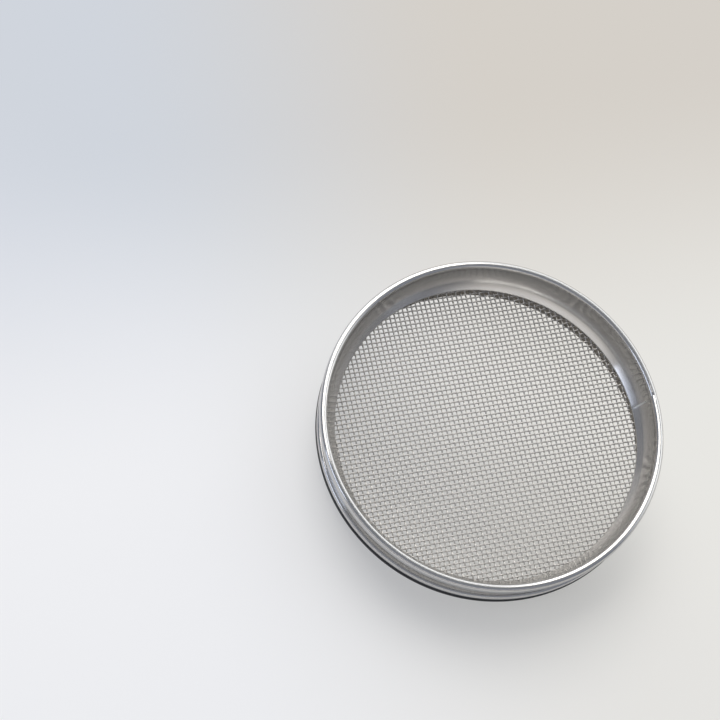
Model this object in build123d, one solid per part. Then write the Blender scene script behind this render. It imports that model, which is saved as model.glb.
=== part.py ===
"""A half-height laboratory test sieve: a 200 mm steel frame over a plain woven wire cloth.

The frame is one strip of stainless sheet, welded into a ring and formed. Its upper edge is
rolled outwards into a rim, and its lower edge curves in to the cloth and is folded back
outwards as a flange. The cloth lies under that flange. The skirt is a second formed ring:
its flange carries the cloth from below, and its edge is curled over the frame's flange,
which clamps the cloth and closes the joint. A rubber ring sits under the curled bead, where
the skirt tapers in. When sieves are stacked, the skirt goes down into the rim of the
next one and the ring seals them.

Units are millimetres. +Z is up, and the axis of the sieve is the Z axis. The origin is in
the middle of the skirt's lower edge, on which the sieve stands.
"""
from build123d import *
import math
import os

# --- Driving dimensions: frame -------------------------------------------------------------
inner_diameter = 200.0        # inside of the upright wall: the nominal size of the sieve
sheet = 0.8                   # thickness of the stainless sheet
sieving_depth = 20.8          # from the rim's crown down to the cloth
rim_width = 4.7               # from the inside face of the wall to the outside of the rim
rim_height = 6.2              # from the crown down to the underside of the rim
crown_flat = 0.1              # level strip between the two bends at the top of the rim
roll_radius = 0.9             # inside radius of the bend at the rim's lower edge
roll_gap = 0.3                # from the rolled edge to the outside of the wall
shoulder_width = 7.1          # from the wall in to the free circle of the cloth
shoulder_angle = 49.0         # slope of the shoulder above the level where it meets the cloth
shoulder_radius = 18.0        # inside radius of the wide bend from the wall into the shoulder
least_wall = 1.0              # upright wall that has to be left above that bend
fold_radius = 0.3             # inside radius of the tight fold that lies on the cloth
flange_reach = 1.5            # how far the frame's flange comes out past the inside of the wall

# --- Driving dimensions: skirt and its curled bead -----------------------------------------
skirt_height = 16.1           # from the lower edge up to the cloth
skirt_bend = 0.6              # inside radius where the skirt bends out into its flange
seat_taper = 0.7              # how far the skirt draws in, from below the rubber ring to the top
taper_bend = 4.0              # inside radius where the straight skirt bends into the taper
bead_flat = 0.28              # upright strip between the bead's two bends
lip_overlap = 1.7             # how far the bead's upper lip reaches in over the frame's flange

# --- Driving dimensions: wire cloth and seal -----------------------------------------------
wire_diameter = 0.90          # wire of a nominal 2 mm cloth
wire_sides = 8                # flats round each wire
warp_pitch = 2.96             # spacing of the warp wires, along X
weft_pitch = 2.83             # spacing of the weft wires, along Y
cloth_inset = 0.7             # from the cut edge of the cloth out to the edge of the flange
seal_section = 5.3            # thickness of the rubber ring

# --- Clearances ----------------------------------------------------------------------------
seat_clearance = 0.02         # between faces that are pressed together
wire_clearance = 0.02         # between the two layers of wire where they cross
edge_clearance = 0.1          # from the edge of the frame's flange to the bend of the bead
seal_clearance = 0.05         # between the rubber ring and the taper that it is stretched over
nesting_clearance = 1.4       # between the skirt and the wall of the sieve that it goes into

# --- Levels that follow from them ----------------------------------------------------------
cloth_thickness = 2 * wire_diameter + wire_clearance
cloth_bottom = skirt_height + seat_clearance
cloth_top = cloth_bottom + cloth_thickness
seat_level = cloth_top + seat_clearance
lip_underside = seat_level + sheet + seat_clearance
crown_level = cloth_top + sieving_depth
rim_underside = crown_level - rim_height
skirt_flange_underside = skirt_height - sheet
seat_bottom = skirt_flange_underside - seal_section
taper_height = skirt_height - seat_bottom

# --- Radii that follow from them -----------------------------------------------------------
wall_radius = inner_diameter / 2
rim_radius = wall_radius + rim_width
rolled_edge_radius = wall_radius + sheet + roll_gap
clear_radius = wall_radius - shoulder_width
flange_radius = wall_radius + flange_reach
lip_radius = flange_radius - lip_overlap
cloth_radius = flange_radius - cloth_inset
skirt_radius = wall_radius - nesting_clearance
taper_top_radius = skirt_radius - seat_taper
bead_bend = (lip_underside - skirt_height - bead_flat) / 2
bead_inner_radius = flange_radius + edge_clearance + bead_bend


def formed_ring(skin_points, skin_radii):
    """Turn a ring of sheet about Z, from the line of one face of the sheet in its section.

    skin_points are (radius, height) corners and skin_radii the bends at the inner ones. The
    sheet lies on the left of the line, looking along it.
    """
    skin = FilletPolyline(*skin_points, radius=skin_radii)
    section = make_face(offset(skin, amount=sheet, side=Side.LEFT, closed=True))
    return revolve(Plane.XZ * section, axis=Axis.Z, revolution_arc=360)


def make_frame():
    """The rim, wall, shoulder and flange, all from one strip of sheet."""
    # Where the sheet lies inside a bend, the bend of this line is its inside radius and the
    # sheet. The two bends of the crown share the width of the rim.
    fold_bend = fold_radius + sheet
    roll_bend = roll_radius + sheet
    crown_bend = (rim_width - crown_flat) / 2
    # The fold turns the shoulder back under itself, so its two faces meet in a sharp corner
    # that lies inside the free circle. The bend starts at the free circle.
    half_slope = math.radians(shoulder_angle) / 2
    fold_corner = clear_radius + fold_bend - fold_bend / math.tan(half_slope)
    shoulder_rise = (wall_radius - fold_corner) * math.tan(math.radians(shoulder_angle))
    # The wide bend goes up the wall as far as it goes down the shoulder, and in a shallow
    # frame the wall limits it.
    half_turn = math.radians(90 - shoulder_angle) / 2
    wall_height = crown_level - crown_bend - seat_level - shoulder_rise
    shoulder_bend = min(shoulder_radius, (wall_height - least_wall) / math.tan(half_turn))
    skin = [
        (rolled_edge_radius, rim_underside),
        (rim_radius, rim_underside),
        (rim_radius, crown_level),
        (wall_radius, crown_level),
        (wall_radius, seat_level + shoulder_rise),
        (fold_corner, seat_level),
        (flange_radius, seat_level),
    ]
    return formed_ring(skin, [roll_bend, crown_bend, crown_bend, shoulder_bend, fold_bend])


def make_skirt():
    """The nesting skirt with its taper, its flange and the bead that closes the joint."""
    skin = [
        (lip_radius, lip_underside),
        (bead_inner_radius, lip_underside),
        (bead_inner_radius, skirt_height),
        (taper_top_radius - sheet, skirt_height),
        (skirt_radius - sheet, seat_bottom),
        (skirt_radius - sheet, 0),
    ]
    return formed_ring(skin, [bead_bend, bead_bend, skirt_bend + sheet, taper_bend])


def make_wires(pitch, level, turn):
    """One set of parallel wires across the cut disc, each as long as its chord.

    The wires are spaced along X and lie along Y, then the set is turned about Z. A wire has
    eight flats, which is as round as it needs to be at its size.
    """
    half_flat = 360 / wire_sides / 2
    wire_section = RegularPolygon(wire_diameter / 2, wire_sides, major_radius=False, rotation=half_flat)
    per_side = int((cloth_radius - wire_diameter) / pitch)
    wires = []
    for index in range(-per_side, per_side + 1):
        place = index * pitch
        half_length = math.sqrt(cloth_radius**2 - place**2)
        wire = extrude(Plane.XZ * wire_section, half_length, both=True)
        wires.append(Rot(0, 0, turn) * Pos(place, 0, level) * wire)
    return wires


def make_cloth():
    """The wire cloth: the warp lies over the weft, and each crossing leaves a square opening.

    The wires lie straight, so that every opening has its true size and place. The two sets
    together are as thick as the woven cloth, in which each wire bends over and under.
    """
    weft_level = cloth_bottom + wire_diameter / 2
    warp_level = cloth_top - wire_diameter / 2
    weft = make_wires(weft_pitch, weft_level, turn=90)
    warp = make_wires(warp_pitch, warp_level, turn=0)
    return Compound(children=weft + warp)


def make_seal():
    """The rubber ring, stretched over the skirt's taper and pushed up against its flange."""
    section_radius = seal_section / 2
    centre_level = skirt_flange_underside - seal_clearance - section_radius
    # The taper leans, so a distance square to it is longer when it is measured level.
    lean = math.hypot(seat_taper, taper_height) / taper_height
    drawn_in = seat_taper * (centre_level - seat_bottom) / taper_height
    taper_face = skirt_radius - drawn_in + sheet * (lean - 1)
    centre_radius = taper_face + (seal_clearance + section_radius) * lean
    return Pos(0, 0, centre_level) * Torus(centre_radius, section_radius)


nodes = {
    "frame": make_frame(),
    "skirt": make_skirt(),
    "wire_cloth": make_cloth(),
    "seal_ring": make_seal(),
}

os.makedirs("parts", exist_ok=True)
for name, shape in nodes.items():
    export_step(shape, f"parts/{name}.step")
    print(name, "volume", round(shape.volume / 1000, 2), "cm3")
print("overall height", round(crown_level, 2), "over the rim", round(2 * rim_radius, 2))
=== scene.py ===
# %% [markdown]
# # A test sieve of stainless steel
#
# A test sieve sorts powder or grit by size. A low steel frame holds a disc of woven wire
# with square openings of one exact size. This one is a 200 mm sieve with openings of 2 mm.
# It is made of four things: the frame, which is one strip of sheet welded into a ring and
# formed; the skirt, a second formed ring whose edge is curled over the frame's flange; the
# wire cloth, clamped between the two; and a rubber ring, which seals the joint to the next
# sieve in a stack.
#
# The imported CAD model gives the true sizes. It is loaded first and never changed. Its parts
# are kept, hidden.

# %% Load the imported model
import math

import bpy
import numpy as np
from mathutils import Matrix, Vector


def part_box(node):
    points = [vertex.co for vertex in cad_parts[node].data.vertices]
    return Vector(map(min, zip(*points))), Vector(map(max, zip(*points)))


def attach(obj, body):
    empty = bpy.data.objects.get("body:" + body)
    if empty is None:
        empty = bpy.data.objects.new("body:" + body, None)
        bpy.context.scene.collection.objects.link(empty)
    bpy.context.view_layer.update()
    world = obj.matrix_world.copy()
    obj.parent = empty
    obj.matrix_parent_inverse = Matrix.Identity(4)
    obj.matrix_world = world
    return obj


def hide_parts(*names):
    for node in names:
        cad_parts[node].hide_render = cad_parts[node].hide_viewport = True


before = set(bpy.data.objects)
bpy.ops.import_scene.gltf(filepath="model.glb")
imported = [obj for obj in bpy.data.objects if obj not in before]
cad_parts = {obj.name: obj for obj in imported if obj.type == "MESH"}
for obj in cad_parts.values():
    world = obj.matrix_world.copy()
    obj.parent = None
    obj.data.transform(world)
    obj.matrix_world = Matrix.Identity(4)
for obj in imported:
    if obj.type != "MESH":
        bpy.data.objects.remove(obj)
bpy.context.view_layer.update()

# %% [markdown]
# ## Sizes
#
# Each piece made here stands for a CAD node, so it has to take the same place. The outer
# sizes are read from the nodes themselves. The inner ones, such as the thickness of the
# sheet and the radii of its bends, can't be read from a box, and they are named here once.
# Blender works in metres, so a size in millimetres is multiplied by MM.

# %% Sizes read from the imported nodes
MM = 0.001

frame_low, frame_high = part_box("frame")
_, skirt_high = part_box("skirt")
cloth_low, cloth_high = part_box("wire_cloth")
seal_low, seal_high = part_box("seal_ring")

rim_radius = frame_high.x
crown_level = frame_high.z
seat_level = frame_low.z
bead_outer_radius = skirt_high.x
lip_top = skirt_high.z
cloth_radius = cloth_high.x
cloth_level = (cloth_low.z + cloth_high.z) / 2
seal_outer_radius = seal_high.x
print("crown at", round(crown_level / MM, 2), "mm, cloth at", round(cloth_level / MM, 2), "mm")

# %% Sizes of the formed sheet
sheet = 0.8 * MM
rim_width = 4.7 * MM
rim_height = 6.2 * MM
crown_flat = 0.1 * MM
roll_bend = 1.7 * MM
roll_gap = 0.3 * MM
shoulder_width = 7.1 * MM
shoulder_angle = math.radians(49.0)
shoulder_bend = 18.0 * MM
shoulder_hollow = math.radians(3.0)
hollow_bend = 40.0 * MM
hollow_run = 5.0 * MM
fold_bend = 1.1 * MM
flange_reach = 1.5 * MM
skirt_height = 16.1 * MM
skirt_gap = 1.4 * MM
skirt_bend = 1.4 * MM
seat_taper = 0.7 * MM
taper_bend = 4.0 * MM
bead_flat = 0.28 * MM
lip_overlap = 1.7 * MM
deburred_edge = 0.2 * MM

wall_radius = rim_radius - rim_width
skirt_radius = wall_radius - skirt_gap
print("wall radius", round(wall_radius / MM, 2), "mm, skirt radius", round(skirt_radius / MM, 2), "mm")

# %% [markdown]
# ## The camera
#
# The sieve is seen from above, a little from one side, with a long lens, so that its circle
# is only slightly foreshortened. The camera is placed by the point of the cloth that it looks
# at, its distance from there, and three angles. It is turned about its own axis as well,
# because the sieve leans over in the picture. The angles are easier to change than a
# position in space. Colours are shown as they are, without a film curve over them.

# %% Make the camera
aim = Vector((-65.93 * MM, 58.61 * MM, cloth_level))
camera_distance = 1380.0 * MM
camera_azimuth = math.radians(-34.89)
camera_elevation = math.radians(66.40)
camera_roll = math.radians(-23.94)
focal_length = 114.0
sensor_width = 36.0

back = Vector((
    math.sin(camera_azimuth) * math.cos(camera_elevation),
    -math.cos(camera_azimuth) * math.cos(camera_elevation),
    math.sin(camera_elevation),
))
camera_data = bpy.data.cameras.new("camera")
camera_data.lens = focal_length
camera_data.sensor_width = sensor_width
camera = bpy.data.objects.new("camera", camera_data)
level_turn = (-back).to_track_quat("-Z", "Y").to_matrix().to_4x4()
roll_turn = Matrix.Rotation(-camera_roll, 4, "Z")
camera.matrix_world = Matrix.Translation(aim + back * camera_distance) @ level_turn @ roll_turn
bpy.context.scene.collection.objects.link(camera)
bpy.context.scene.camera = camera
bpy.context.scene.view_settings.view_transform = "Standard"
print("camera at", [round(c, 3) for c in camera.matrix_world.translation])

# %% [markdown]
# ## From a grid of points to a mesh
#
# Every piece of a sieve is a surface of two parameters: round the ring and along its
# section, or along a wire and round it. Numpy works out the whole grid of points at once.
# One helper turns such a grid into a mesh of quads. It also writes a UV map in millimetres,
# so that a pattern can follow the metal along and across the way it was drawn or rolled.

# %% A grid of points becomes a mesh
def grid_faces(rows, columns, wrap_rows, wrap_columns):
    """Corner numbers of the quads of a grid, shape (count, 4).

    Point (i, j) has the number i * columns + j. Quad (i, j) joins it to its next row and its
    next column, where next is taken modulo the grid's size in a direction that wraps.
    """
    i, j = np.meshgrid(
        np.arange(rows if wrap_rows else rows - 1),
        np.arange(columns if wrap_columns else columns - 1),
        indexing="ij",
    )
    next_i, next_j = (i + 1) % rows, (j + 1) % columns
    corners = [i * columns + j, i * columns + next_j, next_i * columns + next_j, next_i * columns + j]
    return np.stack(corners, axis=-1).reshape(-1, 4)


def grid_uv(across, along):
    """UV of the same quads from the running lengths of the rows and columns, in millimetres.

    across and along have one entry more than the quads in that direction, so a seam ends at
    the full length and doesn't run back to zero.
    """
    v, u = np.meshgrid(across, along, indexing="ij")
    uv = np.stack([u, v], axis=-1)
    corners = [uv[:-1, :-1], uv[:-1, 1:], uv[1:, 1:], uv[1:, :-1]]
    return np.stack(corners, axis=2).reshape(-1, 2)


def make_mesh(name, points, faces, uv, extra_faces=()):
    """Put points, quads and their UV into a smooth mesh object at the origin."""
    mesh = bpy.data.meshes.new(name)
    quads = [tuple(face) for face in faces.tolist()]
    mesh.from_pydata(points.reshape(-1, 3).tolist(), [], quads + [tuple(f) for f in extra_faces])
    layer = mesh.uv_layers.new(name="metal_mm")
    padded = np.zeros((len(mesh.loops), 2))
    padded[: len(uv)] = uv
    layer.data.foreach_set("uv", padded.ravel())
    mesh.polygons.foreach_set("use_smooth", np.ones(len(mesh.polygons), dtype=bool))
    made = bpy.data.objects.new(name, mesh)
    bpy.context.scene.collection.objects.link(made)
    triangles = sum(len(p.vertices) - 2 for p in mesh.polygons)
    print(name, "has", triangles, "triangles")
    return made


print("a grid of 3 by 4 points has", len(grid_faces(3, 4, False, False)), "quads")

# %% [markdown]
# ## The line of a formed sheet
#
# A sheet-metal worker draws a formed strip as one line with bends, and the sheet lies along
# it. The same is done here: straight runs, each bend an arc that touches both its runs, and
# a normal at every point. The second face of the sheet is the first one moved along those
# normals by the thickness, which keeps the sheet even through every bend. The cut edges are
# deburred with a small round, and that is what catches a fine line of light.

# %% Straight runs and arcs
ARC_STEP = math.radians(7.0)
GUARD = 0.12 * MM


def straight(start, end):
    """Points and tangents of a straight run, without its end point.

    One point close to each end keeps the shading of the run flat beside a bend.
    """
    length = np.linalg.norm(end - start)
    stops = np.array([0.0, GUARD, length / 2, length - GUARD]) / length
    if length < 4 * GUARD:
        stops = np.array([0.0])
    points = start + stops[:, None] * (end - start)
    return points, np.broadcast_to((end - start) / length, points.shape)


def bend(corner, before, after, radius):
    """Points and tangents of the arc that rounds a corner between two unit directions.

    The arc turns by the angle between the directions and starts radius * tan(turn / 2)
    before the corner. Its centre lies one radius to the side that the line turns to.
    """
    turn = math.atan2(before[0] * after[1] - before[1] * after[0], before @ after)
    inwards = math.copysign(1.0, turn) * np.array([-before[1], before[0]])
    start = corner - before * radius * math.tan(abs(turn) / 2)
    swept = np.linspace(0.0, abs(turn), max(3, round(abs(turn) / ARC_STEP) + 1))[:, None]
    points = start + radius * (inwards * (1 - np.cos(swept)) + before * np.sin(swept))
    return points, before * np.cos(swept) + inwards * np.sin(swept)


def bent_line(corners, radii):
    """Points and unit tangents along a line of straight runs and bends, both (n, 2)."""
    runs = np.diff(corners, axis=0)
    directions = runs / np.linalg.norm(runs, axis=1)[:, None]
    parts, start = [], corners[0]
    for index, radius in enumerate(radii):
        points, tangents = bend(corners[index + 1], directions[index], directions[index + 1], radius)
        parts += [straight(start, points[0]), (points[:-1], tangents[:-1])]
        start = points[-1]
    parts += [straight(start, corners[-1]), (corners[-1:], directions[-1:])]
    return np.concatenate([p for p, t in parts]), np.concatenate([t for p, t in parts])


def cut_end(point, outwards, normal, thickness):
    """The cut end of a sheet: a quarter round, a flat and a quarter round.

    point is the end of the first face less the round, outwards the way that the sheet ends,
    and normal the way across it.
    """
    swept = np.linspace(0.0, math.pi / 2, 5)[:, None]
    near = point + normal * deburred_edge
    far = point + normal * (thickness - deburred_edge)
    near_round = near + deburred_edge * (outwards * np.sin(swept) - normal * np.cos(swept))
    far_round = far + deburred_edge * (outwards * np.cos(swept) + normal * np.sin(swept))
    return np.concatenate([near_round[1:], far_round[:-1]])


def sheet_outline(corners, radii, thickness=sheet):
    """Closed outline of a formed sheet's section, shape (n, 2), with the metal on its left.

    The first face is the bent line. The second is that line moved along its left normals by
    the thickness and run backwards. Each end is closed by a cut with rounded edges.
    """
    corners = np.array(corners, dtype=float)
    first, last = corners[1] - corners[0], corners[-1] - corners[-2]
    first, last = first / np.linalg.norm(first), last / np.linalg.norm(last)
    corners[0] += first * deburred_edge
    corners[-1] -= last * deburred_edge
    face, tangents = bent_line(corners, radii)
    normals = np.stack([-tangents[:, 1], tangents[:, 0]], axis=1)
    other = face + normals * thickness
    end_cut = cut_end(face[-1], last, normals[-1], thickness)
    start_cut = cut_end(other[0], -first, -normals[0], thickness)
    return np.concatenate([face, end_cut, other[::-1], start_cut])


print("arcs have a point about every", round(math.degrees(ARC_STEP)), "degrees")

# %% [markdown]
# ## Turned rings
#
# The frame is rolled and welded, and the skirt is formed in the same way, so both are one
# section carried round the axis. A Screw or Spin modifier could do it. A grid of points gives
# more: the columns can lie closer together at the weld, where the metal has a ground ridge
# and a small dip in the rim, and every point knows how far round and how far along the
# section it is.

# %% Carry a section round the axis
RING_STEPS = 288


def ring_angles(count, close_to_weld=()):
    """Angles round the ring: even steps, and a few more on each side of the weld at zero."""
    even = np.linspace(0.0, 2 * math.pi, count, endpoint=False)
    close = np.array(close_to_weld)
    return np.unique(np.concatenate([even, close, 2 * math.pi - close]))


def ring_points(outline, angles, offset=0.0):
    """Grid of points (section, round): radius * (cos, sin) of the angle, and the height.

    offset moves each point along the outward normal of the outline, as an array or a number.
    """
    following, preceding = np.roll(outline, -1, axis=0), np.roll(outline, 1, axis=0)
    tangents = following - preceding
    tangents = tangents / np.linalg.norm(tangents, axis=1)[:, None]
    radius = outline[:, 0, None] + tangents[:, 1, None] * offset
    height = outline[:, 1, None] - tangents[:, 0, None] * offset
    height = np.broadcast_to(height, (len(outline), len(angles)))
    return np.stack([radius * np.cos(angles), radius * np.sin(angles), height], axis=-1)


def make_ring(name, outline, angles, offset=0.0):
    """A closed ring: the outline wraps in one direction and the turn in the other."""
    points = ring_points(outline, angles, offset)
    faces = grid_faces(len(outline), len(angles), True, True)
    steps = np.linalg.norm(np.roll(outline, -1, axis=0) - outline, axis=1)
    across = np.concatenate([[0.0], np.cumsum(steps)]) / MM
    around = np.append(angles, 2 * math.pi) * outline[:, 0].mean() / MM
    return make_mesh(name, points, faces, grid_uv(across, around))


print("an even ring has", len(ring_angles(RING_STEPS)), "columns")

# %% [markdown]
# ## The frame
#
# The strip starts under the rim, goes out and up round it, down the short upright wall, in
# along the hollow shoulder, round a tight fold that lies on the cloth, and out again as a
# flange. Samples slide down the shoulder on to the cloth, so nothing is trapped in a corner.
# The sheet springs back a little between the rolls, so the shoulder is slightly hollow: it is
# three degrees flatter at the cloth and as much steeper at the wall.
# The wide bend of the shoulder is also what gives the inside its shading: near the rim it
# mirrors the cloth, and near the cloth it mirrors the room.
#
# The weld is a low ground ridge on the shoulder, and where the rim was rolled over it there
# is a small dip. The columns of the grid lie closer together there.

# %% Make the frame
rim_underside = crown_level - rim_height
clear_radius = wall_radius - shoulder_width
flange_radius = wall_radius + flange_reach
crown_bend = (rim_width - crown_flat) / 2
foot_angle, top_angle = shoulder_angle - shoulder_hollow, shoulder_angle + shoulder_hollow
fold_corner = clear_radius + fold_bend - fold_bend / math.tan(foot_angle / 2)
hollow_radius = fold_corner + hollow_run * math.cos(foot_angle)
hollow_level = seat_level + hollow_run * math.sin(foot_angle)
shoulder_top = hollow_level + (wall_radius - hollow_radius) * math.tan(top_angle)

frame_outline = sheet_outline(
    [
        (wall_radius + sheet + roll_gap, rim_underside),
        (rim_radius, rim_underside),
        (rim_radius, crown_level),
        (wall_radius, crown_level),
        (wall_radius, shoulder_top),
        (hollow_radius, hollow_level),
        (fold_corner, seat_level),
        (flange_radius, seat_level),
    ],
    [roll_bend, crown_bend, crown_bend, shoulder_bend, hollow_bend, fold_bend],
)

weld_half_width, weld_ridge = 0.8 * MM, 0.03 * MM
dip_half_width, rim_dip = 1.3 * MM, 0.12 * MM
weld_steps = np.array([0.3, 0.6, 0.9, 1.3, 1.8, 2.4]) * MM / wall_radius
frame_angles = ring_angles(RING_STEPS, weld_steps)
weld_distance = np.minimum(frame_angles, 2 * math.pi - frame_angles) * wall_radius
weld_bead = np.exp(-((weld_distance / weld_half_width) ** 2))
dip = np.exp(-((weld_distance / dip_half_width) ** 2))


def above(level, softness):
    """A soft step over the section's height: 0 well below the level and 1 well above it."""
    return 1 / (1 + np.exp((level - frame_outline[:, 1, None]) / softness))


# The ridge starts above the joint and ends below the wall, on the inside only.
inside = frame_outline[:, 0, None] < wall_radius + sheet / 2
weld_foot, weld_top = lip_top + 1.5 * MM, crown_level - 7.5 * MM
on_shoulder = inside * (above(weld_foot, 0.3 * MM) - above(weld_top, 0.8 * MM))
on_rim = above(crown_level - 2.2 * MM, 0.35 * MM)
moved = weld_ridge * weld_bead * on_shoulder - rim_dip * dip * on_rim
frame_ring = make_ring("frame_ring", frame_outline, frame_angles, moved)
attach(frame_ring, "root")
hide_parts("frame")

# %% [markdown]
# ## The skirt
#
# The second ring starts at the lip on the frame's flange, goes out and round the bead, in
# under the cloth, and down the skirt. A slight taper keeps the rubber ring up in its place.

# %% Make the skirt
lip_underside = lip_top - sheet
lip_radius = flange_radius - lip_overlap
bead_bend = (lip_underside - skirt_height - bead_flat) / 2
seal_section = seal_high.z - seal_low.z
seat_bottom = skirt_height - sheet - seal_section
taper_top_radius = skirt_radius - seat_taper

skirt_outline = sheet_outline(
    [
        (lip_radius, lip_underside),
        (bead_outer_radius - sheet, lip_underside),
        (bead_outer_radius - sheet, skirt_height),
        (taper_top_radius - sheet, skirt_height),
        (skirt_radius - sheet, seat_bottom),
        (skirt_radius - sheet, 0.0),
    ],
    [bead_bend, bead_bend, skirt_bend, taper_bend],
)
skirt_angles = ring_angles(RING_STEPS)
skirt_ring = make_ring("skirt_ring", skirt_outline, skirt_angles)
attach(skirt_ring, "root")
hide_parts("skirt")

# %% [markdown]
# ## The wire cloth
#
# Plain weave: every wire goes over one crossing wire and under the next, and its neighbours
# do the opposite. Steel wire is crimped before it is woven, so it keeps a wave of its own,
# close to a cosine whose half-wave is the pitch of the crossing wires. The CAD model has the
# same wires straight, in two layers. Here they are bent, in the same places.
#
# Instancing one crossing four thousand times would be simple, but a wire has to be whole
# from edge to edge, so each one is a tube of its own along its own wave.

# %% Woven wires
wire_diameter = 0.90 * MM
warp_pitch = 2.96 * MM
weft_pitch = 2.83 * MM
wire_sides = 6
steps_per_crossing = 4
wire_spacing_mm = 250.0
wave_height = (cloth_high.z - cloth_low.z - wire_diameter) / 2


def crimped_wire(place, along, crossing_pitch, phase):
    """Tube of a wire in its own plane: points (along, round) with along as first coordinate.

    The centre line is the wave height times cos(pi * (along / pitch + phase)). The round of
    the wire lies square to it: the sideways part along the pitch, the upright part along
    the normal of the wave, which is (-slope, 1) made a unit.
    """
    angle = math.pi * (along / crossing_pitch + phase)
    height = wave_height * np.cos(angle)
    slope = -wave_height * math.pi / crossing_pitch * np.sin(angle)
    length = np.sqrt(1 + slope**2)
    turn = 2 * math.pi * (np.arange(wire_sides) + 0.5) / wire_sides
    sideways = wire_diameter / 2 * np.cos(turn)
    upright = wire_diameter / 2 * np.sin(turn)
    x = along[:, None] - (slope / length)[:, None] * upright
    y = np.broadcast_to(place + sideways, x.shape)
    z = cloth_level + height[:, None] + (1 / length)[:, None] * upright
    return np.stack([x, y, z], axis=-1)


def wire_steps(place, crossing_pitch):
    """Where a wire is sampled: even parts of the pitch, and its two ends on the cut circle."""
    half = math.sqrt(cloth_radius**2 - place**2)
    step = crossing_pitch / steps_per_crossing
    inner = np.arange(-int(half / step - 0.5), int(half / step - 0.5) + 1) * step
    return np.concatenate([[-half], inner, [half]])


def make_wires(name, pitch, crossing_pitch, over_first, swap):
    """All wires of one direction in one mesh. swap exchanges X and Y, for the other set."""
    count = int((cloth_radius - wire_diameter) / pitch)
    points, faces, uv, caps, used = [], [], [], [], 0
    for index in range(-count, count + 1):
        along = wire_steps(index * pitch, crossing_pitch)
        tube = crimped_wire(index * pitch, along, crossing_pitch, index + over_first)
        quads = grid_faces(len(along), wire_sides, False, True)
        points.append(tube.reshape(-1, 3))
        faces.append(quads + used)
        round_mm = np.arange(wire_sides + 1) * math.pi * wire_diameter / wire_sides / MM
        uv.append(grid_uv(along / MM + wire_spacing_mm * (index + count), round_mm))
        ring = np.arange(wire_sides)
        caps += [(used + ring[::-1]).tolist(), (used + quads.max() - ring[::-1]).tolist()]
        used += quads.max() + 1
    points, faces, uv = np.concatenate(points), np.concatenate(faces), np.concatenate(uv)
    if swap:
        points = points[:, [1, 0, 2]]
        faces = faces[:, ::-1]
        uv = uv.reshape(-1, 4, 2)[:, ::-1].reshape(-1, 2)
        caps = [cap[::-1] for cap in caps]
    return make_mesh(name, points, faces, uv, caps)


warp_wires = make_wires("warp_wires", warp_pitch, weft_pitch, 0, True)
weft_wires = make_wires("weft_wires", weft_pitch, warp_pitch, 1, False)
for wires in (warp_wires, weft_wires):
    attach(wires, "root")
    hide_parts("wire_cloth")

# %% [markdown]
# ## The rubber ring
#
# A moulded ring has a round section and a fine line of flash where the two halves of its
# mould met, round its outside. A torus from Blender's menu has no such line, so the section
# is worked out here: a circle whose radius is a little greater at the middle of its outside.

# %% Make the rubber ring
seal_sides, seal_steps = 40, 256
flash_height = 0.07 * MM
flash_angle = 0.07

section_turn = np.linspace(0.0, 2 * math.pi, seal_sides, endpoint=False)
from_outside = (section_turn + math.pi) % (2 * math.pi) - math.pi
flash = flash_height * np.exp(-((from_outside / flash_angle) ** 2))
section_radius = seal_section / 2 - flash_height + flash
seal_outline = np.stack([
    seal_outer_radius - seal_section / 2 + section_radius * np.cos(section_turn),
    (seal_low.z + seal_high.z) / 2 + section_radius * np.sin(section_turn),
], axis=1)
rubber_ring = make_ring("rubber_ring", seal_outline, ring_angles(seal_steps))
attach(rubber_ring, "root")
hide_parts("seal_ring")

# %% [markdown]
# ## Helpers for materials
#
# A material is a small network of nodes. Colours are written as the hex values that a paint
# program shows and turned to the linear values that the renderer adds up. One helper adds a
# node, sets it and links it. Most sockets have names. A Mix node has several of the same
# name, so its sockets are numbered: 0 is the share, 6 and 7 are its two colours, and the
# mixed colour is output 2.

# %% Colours and nodes
def linear(hex_colour):
    """sRGB hex to linear RGBA: c / 12.92 up to 0.04045, and ((c + 0.055) / 1.055) ** 2.4 above."""
    srgb = [int(hex_colour[i : i + 2], 16) / 255 for i in (1, 3, 5)]
    return tuple(c / 12.92 if c <= 0.04045 else ((c + 0.055) / 1.055) ** 2.4 for c in srgb) + (1.0,)


def add(tree, kind, inputs=None, **settings):
    """Add a node. settings are its properties. An input takes a value or another output."""
    made = tree.nodes.new("ShaderNode" + kind)
    for name, value in settings.items():
        setattr(made, name, value)
    for socket, value in (inputs or {}).items():
        if isinstance(value, bpy.types.NodeSocket):
            tree.links.new(value, made.inputs[socket])
        else:
            made.inputs[socket].default_value = value
    return made


def new_material(name):
    """An empty material: its tree, and a Principled shader that is linked to its output."""
    material = bpy.data.materials.new(name)
    material.use_nodes = True
    tree = material.node_tree
    tree.nodes.clear()
    shader = add(tree, "BsdfPrincipled")
    add(tree, "OutputMaterial", {"Surface": shader.outputs[0]})
    return material, tree, shader


print("white in linear values:", linear("#ffffff"))
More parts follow.
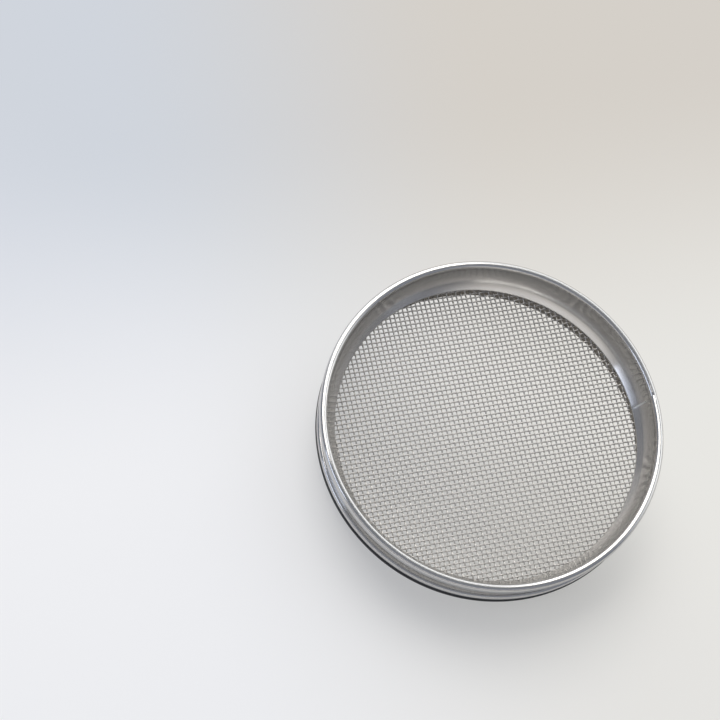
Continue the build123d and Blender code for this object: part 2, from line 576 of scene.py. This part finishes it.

# %% [markdown]
# ## Polished stainless sheet
#
# The strip is cold-rolled stainless steel, formed on rolls and polished while it turns. So
# its grain runs round the ring: fine lines, far longer than wide. They leave a reflection
# sharp along the ring and smear it across, which is why the wires of the cloth show in the
# wall as rows of upright streaks. The rolls leave long shallow waves, and handling leaves
# patches a little less bright. The weld is ground, which makes it lighter and duller. The
# inside of the skirt is left as the mill rolled it, which makes it duller, and its colour is
# painted darker and warmer as shade, because it lies in the shadow under the cloth.
#
# The real grain is some hundredths of a millimetre wide, too fine for a bump that is drawn
# line by line. The shader's anisotropy stands for it: the tangent follows U of the UV map in
# millimetres, which runs round the ring, and a quarter turn sets the smear across it. A
# coarser grain of half a millimetre is drawn as a bump, to break up the long highlights.

# %% Material of the frame and the skirt
def polished_sheet():
    """Metal with grain along U, waves from the rolls, handled patches and a ground weld."""
    grain_length, grain_width, grain_depth = 60.0, 0.5, 0.0006 * MM
    wave_length, wave_depth = 18.0 * MM, 0.006 * MM
    patch_size = 33.3 * MM
    added_roughness = 0.2
    material, tree, shader = new_material("polished_stainless_sheet")
    metal = add(tree, "UVMap", uv_map="metal_mm").outputs["UV"]
    place = add(tree, "TexCoord").outputs["Object"]
    round_the_ring = add(tree, "Tangent", direction_type="UV_MAP", uv_map="metal_mm").outputs[0]
    weld = add(tree, "Attribute", attribute_name="weld").outputs["Fac"]
    unpolished_and_painted_shade = add(tree, "Attribute", attribute_name="unpolished_and_painted_shade").outputs["Fac"]

    stretched = add(tree, "Mapping", {"Vector": metal, "Scale": (1 / grain_length, 1 / grain_width, 1.0)})
    grain = add(tree, "TexNoise", {"Vector": stretched.outputs[0], "Scale": 1.0, "Detail": 3.0})
    waves = add(tree, "TexNoise", {"Vector": place, "Scale": 1 / wave_length, "Detail": 1.0})
    wavy = add(tree, "Bump", {"Height": waves.outputs[0], "Strength": 1.0, "Distance": wave_depth})
    lined = add(tree, "Bump", {
        "Height": grain.outputs[0], "Strength": 1.0, "Distance": grain_depth, "Normal": wavy.outputs[0],
    })

    patches = add(tree, "TexNoise", {
        "Vector": place, "Scale": 1 / patch_size, "Detail": 5.0, "Roughness": 0.6,
    }).outputs[0]
    polished = add(tree, "Mix", {
        0: patches, 6: linear("#c9c9c8"), 7: linear("#d4d3d1"),
    }, data_type="RGBA")
    # The inside of the skirt: rougher as the mill left it, and its colour painted darker and warmer as
    # shade, since it lies in the shadow under the cloth.
    with_mill_finish_and_painted_shade = add(tree, "Mix", {
        0: unpolished_and_painted_shade, 6: polished.outputs[2], 7: linear("#c0bab2"),
    }, data_type="RGBA")
    with_weld = add(tree, "Mix", {
        0: weld, 6: with_mill_finish_and_painted_shade.outputs[2], 7: linear("#dcdcda"),
    }, data_type="RGBA")
    polished_roughness = add(tree, "MapRange", {
        "Value": patches, "From Min": 0.3, "From Max": 0.7, "To Min": 0.12, "To Max": 0.17,
    })
    not_polished = add(tree, "Math", {0: weld, 1: unpolished_and_painted_shade}, operation="ADD")
    roughness = add(tree, "Math", {
        0: not_polished.outputs[0], 1: added_roughness, 2: polished_roughness.outputs[0],
    }, operation="MULTIPLY_ADD")

    shader.inputs["Metallic"].default_value = 1.0
    shader.inputs["Anisotropic"].default_value = 0.95
    shader.inputs["Anisotropic Rotation"].default_value = 0.25
    tree.links.new(round_the_ring, shader.inputs["Tangent"])
    tree.links.new(with_weld.outputs[2], shader.inputs["Base Color"])
    tree.links.new(roughness.outputs[0], shader.inputs["Roughness"])
    tree.links.new(lined.outputs[0], shader.inputs["Normal"])
    return material


def mark(ring, name, amount):
    """Write an amount for each point of a ring, for the material to read."""
    layer = ring.data.attributes.new(name, "FLOAT", "POINT")
    layer.data.foreach_set("value", amount.ravel().astype(np.float32))


mark(frame_ring, "weld", weld_bead * on_shoulder)
# The inside of the skirt is marked for its mill finish and for its colour painted darker as shade.
in_skirt = (skirt_outline[:, 0] < skirt_radius - sheet / 2) & (skirt_outline[:, 1] < skirt_height)
mark(skirt_ring, "unpolished_and_painted_shade", np.repeat(in_skirt, len(skirt_angles)))

sheet_metal = polished_sheet()
frame_ring.data.materials.append(sheet_metal)
skirt_ring.data.materials.append(sheet_metal)
print("sheet metal on", frame_ring.name, "and", skirt_ring.name)

# %% [markdown]
# ## Drawn stainless wire
#
# Wire is pulled through a die, which leaves it bright but duller than polished sheet, with
# fine lines along it. Each wire comes from its own coil and differs a little in tone. The U
# of a wire starts at its own multiple of 250 mm, so that a whole number tells the wires
# apart.

# %% Material of the wire cloth
def drawn_wire():
    """Metal with a tone for each wire and small changes of gloss along it."""
    gloss_length, gloss_width = 2.5, 0.17
    material, tree, shader = new_material("drawn_stainless_wire")
    metal = add(tree, "UVMap", uv_map="metal_mm").outputs["UV"]
    along = add(tree, "SeparateXYZ", {0: metal}).outputs["X"]
    wire = add(tree, "Math", {0: along, 1: wire_spacing_mm}, operation="DIVIDE")
    number = add(tree, "Math", {0: wire.outputs[0]}, operation="ROUND")
    chance = add(tree, "TexWhiteNoise", {"W": number.outputs[0]}, noise_dimensions="1D")
    tone = add(tree, "Mix", {
        0: chance.outputs["Value"], 6: linear("#bfbcb8"), 7: linear("#cfccc8"),
    }, data_type="RGBA")
    stretched = add(tree, "Mapping", {"Vector": metal, "Scale": (1 / gloss_length, 1 / gloss_width, 1.0)})
    gloss = add(tree, "TexNoise", {"Vector": stretched.outputs[0], "Scale": 1.0, "Detail": 2.0})
    roughness = add(tree, "MapRange", {
        "Value": gloss.outputs[0], "From Min": 0.3, "From Max": 0.7, "To Min": 0.36, "To Max": 0.46,
    })
    shader.inputs["Metallic"].default_value = 1.0
    tree.links.new(tone.outputs[2], shader.inputs["Base Color"])
    tree.links.new(roughness.outputs[0], shader.inputs["Roughness"])
    return material


wire_metal = drawn_wire()
warp_wires.data.materials.append(wire_metal)
weft_wires.data.materials.append(wire_metal)
print("wire metal on", warp_wires.name, "and", weft_wires.name)

# %% [markdown]
# ## Black rubber
#
# Moulded nitrile rubber, filled with carbon black. It is nearly black with a cold tinge, and
# its skin is matt with a faint bloom, which gives a broad dull highlight and no mirror.

# %% Material of the rubber ring
def moulded_rubber():
    """A dark dielectric with a fine moulded grain and patches of bloom."""
    grain_size, grain_depth = 0.4 * MM, 0.01 * MM
    bloom_size = 16.7 * MM
    material, tree, shader = new_material("moulded_black_rubber")
    place = add(tree, "TexCoord").outputs["Object"]
    grain = add(tree, "TexNoise", {"Vector": place, "Scale": 1 / grain_size, "Detail": 2.0})
    bumped = add(tree, "Bump", {"Height": grain.outputs[0], "Strength": 0.6, "Distance": grain_depth})
    bloom = add(tree, "TexNoise", {"Vector": place, "Scale": 1 / bloom_size, "Detail": 4.0}).outputs[0]
    skin = add(tree, "Mix", {0: bloom, 6: linear("#14161a"), 7: linear("#202329")}, data_type="RGBA")
    roughness = add(tree, "MapRange", {
        "Value": bloom, "From Min": 0.3, "From Max": 0.7, "To Min": 0.42, "To Max": 0.60,
    })
    tree.links.new(skin.outputs[2], shader.inputs["Base Color"])
    tree.links.new(roughness.outputs[0], shader.inputs["Roughness"])
    tree.links.new(bumped.outputs[0], shader.inputs["Normal"])
    return material


rubber_ring.data.materials.append(moulded_rubber())
print("rubber on", rubber_ring.name)

# %% [markdown]
# ## The table
#
# A white laminate table. Its colour holds painted light and shade: it is painted darker away
# from the camera, a little bluish on the left and warm on the right. A diffuse surface alone
# would look dark through the cloth, because the skirt and the wires keep the light from it,
# while a real table in a bright room glows through the openings. So what the camera sees is
# partly a glow of the table's tone and partly the lit surface, which keeps the shadow. Near
# the camera the lit part is the greater one, and behind the sieve the table glows in full:
# painted light, which stands for the light through the cloth and hides the shadow there. The
# mirrors of the metal see nearly the lit surface alone, so the wall looks as dark as the cloth
# that it faces.

# %% Floor
def table_tone_with_painted_shade(tree):
    """Four tones of the laminate with painted light and shade, darker away from the camera, bluish on the
    left and warm on the right, mixed by soft steps along Y (away) and X (to the right).
    """
    place = add(tree, "SeparateXYZ", {0: add(tree, "TexCoord").outputs["Object"]}).outputs
    upwards = add(tree, "MapRange", {
        "Value": place["Y"], "From Min": 0.0, "From Max": 0.24,
    }, interpolation_type="SMOOTHSTEP").outputs[0]
    rightwards = add(tree, "MapRange", {
        "Value": place["X"], "From Min": -0.2, "From Max": 0.08,
    }, interpolation_type="SMOOTHSTEP").outputs[0]
    left = add(tree, "Mix", {0: upwards, 6: linear("#eeeff1"), 7: linear("#d0d5dd")}, data_type="RGBA")
    right = add(tree, "Mix", {0: upwards, 6: linear("#e8e7e3"), 7: linear("#d5d0c9")}, data_type="RGBA")
    tone = add(tree, "Mix", {
        0: rightwards, 6: left.outputs[2], 7: right.outputs[2],
    }, data_type="RGBA")
    return tone.outputs[2]


def pale_floor():
    """Matt white laminate that is lit, and glows with a share of its tone, in full behind the sieve as
    painted light.
    """
    away, half_step = (0.5, 0.6, 0.0), 0.05
    # Behind the sieve the table glows with its full tone: painted light, which stands for the light
    # through the cloth and hides the shadow there. Near the camera it glows less and keeps more of its
    # shadow.
    glow_share_near, glow_share_far, glow_share_mirrored = 0.42, 1.0, 0.1
    material, tree, shader = new_material("matt_white_laminate")
    tone = table_tone_with_painted_shade(tree)
    shader.inputs["Roughness"].default_value = 0.6
    shader.inputs["Specular IOR Level"].default_value = 0.2
    tree.links.new(tone, shader.inputs["Base Color"])
    even = add(tree, "Emission", {"Color": tone, "Strength": 1.0})

    distance_away = add(tree, "VectorMath", {
        0: add(tree, "TexCoord").outputs["Object"], 1: away,
    }, operation="DOT_PRODUCT").outputs["Value"]
    glow_share = add(tree, "MapRange", {
        "Value": distance_away, "From Min": -half_step, "From Max": half_step,
        "To Min": glow_share_near, "To Max": glow_share_far,
    }, interpolation_type="SMOOTHSTEP")
    path = add(tree, "LightPath").outputs
    mirrored = add(tree, "Math", {
        0: path["Is Glossy Ray"], 1: path["Is Transmission Ray"],
    }, operation="MAXIMUM")
    direct = add(tree, "Math", {0: path["Is Camera Ray"], 1: glow_share.outputs[0]}, operation="MULTIPLY")
    share = add(tree, "Math", {
        0: mirrored.outputs[0], 1: glow_share_mirrored, 2: direct.outputs[0],
    }, operation="MULTIPLY_ADD")
    both = add(tree, "MixShader", {0: share.outputs[0], 1: shader.outputs[0], 2: even.outputs[0]})
    output = next(node for node in tree.nodes if node.type == "OUTPUT_MATERIAL")
    tree.links.new(both.outputs[0], output.inputs["Surface"])
    return material


floor_half = 4.0
floor_corners = [(x * floor_half, y * floor_half, 0) for x, y in ((-1, -1), (1, -1), (1, 1), (-1, 1))]
floor_mesh = bpy.data.meshes.new("floor")
floor_mesh.from_pydata(floor_corners, [], [(0, 1, 2, 3)])
floor = bpy.data.objects.new("floor", floor_mesh)
bpy.context.scene.collection.objects.link(floor)
floor_mesh.materials.append(pale_floor())
print("floor", 2 * floor_half, "m square")

# %% [markdown]
# ## The room
#
# Polished metal shows what is round it more than its own colour. So the room is made as the
# sieve would mirror it, of three ramps over the height of a direction. All round it is dim
# and a little bluish. Behind the sieve a white wall begins a little above the table and fades
# towards the ceiling. On the camera's side there is only one low bright band, as of windows
# far away. It lights the foot of the far shoulder, and the dark below it gives that shoulder
# its fall from light to dark. The ramps are mixed by how far a direction points to the camera
# and to the white wall.

# %% The tones of the room
white_wall_azimuth = math.radians(52.0)
room_strength = 1.7
past_the_table = "#e3e3e2"
room_tones = {
    "all_round": [
        (0.0, "#747270"), (0.5, "#6c7280"), (0.75, "#72747a"), (1.0, "#707276"),
    ],
    "camera_side": [
        (0.0, "#5c5a58"), (0.10, "#605e5c"), (0.20, "#7a7774"), (0.28, "#aca8a4"),
        (0.37, "#eae6e2"), (0.43, "#c8c6c6"), (0.50, "#6a7080"), (1.0, "#6c6e72"),
    ],
    "white_wall": [
        (0.0, "#868584"), (0.12, "#a09f9e"), (0.24, "#fafafa"), (0.66, "#f1f3f6"),
        (0.87, "#989a9c"), (1.0, "#707276"),
    ],
}
# Each side's azimuth, and where its share starts and is full as a direction turns to it.
room_sides = {
    "camera_side": (camera_azimuth - math.pi / 2, 0.35, 0.85),
    "white_wall": (white_wall_azimuth, 0.05, 0.6),
}
print("white wall at azimuth", round(math.degrees(white_wall_azimuth)), "degrees")

# %% World with its ramps
world = bpy.data.worlds.new("bright_room")
bpy.context.scene.world = world
world.use_nodes = True
sky = world.node_tree
sky.nodes.clear()
direction = add(sky, "TexCoord").outputs["Generated"]
rise = add(sky, "SeparateXYZ", {0: direction}).outputs["Z"]

ramps = {}
for side, tones in room_tones.items():
    ramp = add(sky, "ValToRGB", {0: rise})
    while len(ramp.color_ramp.elements) < len(tones):
        ramp.color_ramp.elements.new(0.5)
    for element, (position, tone) in zip(ramp.color_ramp.elements, tones):
        element.position = position
        element.color = linear(tone)
    ramps[side] = ramp.outputs[0]
print("ramps:", sorted(ramps))

# %% The ramps mixed, and what the camera sees past the table
room_colour = ramps["all_round"]
for side, (azimuth, start, full) in room_sides.items():
    towards = add(sky, "VectorMath", {
        0: direction, 1: (math.cos(azimuth), math.sin(azimuth), 0.0),
    }, operation="DOT_PRODUCT")
    share = add(sky, "MapRange", {
        "Value": towards.outputs["Value"], "From Min": start, "From Max": full,
    }, interpolation_type="SMOOTHSTEP")
    room_colour = add(sky, "Mix", {
        0: share.outputs[0], 6: room_colour, 7: ramps[side],
    }, data_type="RGBA").outputs[2]

room = add(sky, "Background", {"Color": room_colour, "Strength": room_strength})
seen = add(sky, "Background", {"Color": linear(past_the_table), "Strength": 1.0})
camera_ray = add(sky, "LightPath").outputs["Is Camera Ray"]
both = add(sky, "MixShader", {0: camera_ray, 1: room.outputs[0], 2: seen.outputs[0]})
add(sky, "OutputWorld", {"Surface": both.outputs[0]})
print("world", world.name, "has", len(sky.nodes), "nodes")

# %% [markdown]
# ## The lamps
#
# Two lamps do what the even room can't. A large soft box high behind the sieve gives the rim
# its white lines and the sieve its soft shadow towards the camera. A small cool window low on
# the left leaves the bluish patch on the shoulder beside the weld.

# %% Lamps
def area_lamp(name, azimuth, elevation, distance, width, height, power, colour):
    """A rectangular lamp that faces the sieve from an azimuth and an elevation in degrees."""
    data = bpy.data.lights.new(name, "AREA")
    data.shape = "RECTANGLE"
    data.size, data.size_y = width, height
    data.energy = power
    data.color = linear(colour)[:3]
    turn, lift = math.radians(azimuth), math.radians(elevation)
    place = distance * Vector((
        math.cos(turn) * math.cos(lift), math.sin(turn) * math.cos(lift), math.sin(lift),
    ))
    lamp = bpy.data.objects.new(name, data)
    facing = (-place).to_track_quat("-Z", "Y").to_matrix().to_4x4()
    lamp.matrix_world = Matrix.Translation(place) @ facing
    bpy.context.scene.collection.objects.link(lamp)
    print(name, "at azimuth", azimuth, "and elevation", elevation, "with", power, "W")


area_lamp(
    "window", azimuth=174.0, elevation=28.0, distance=2.45,
    width=0.9, height=0.7, power=3.8, colour="#dde6fa",
)
area_lamp(
    "soft_box", azimuth=95.0, elevation=52.0, distance=2.3,
    width=1.7, height=1.8, power=31.0, colour="#fffaf4",
)
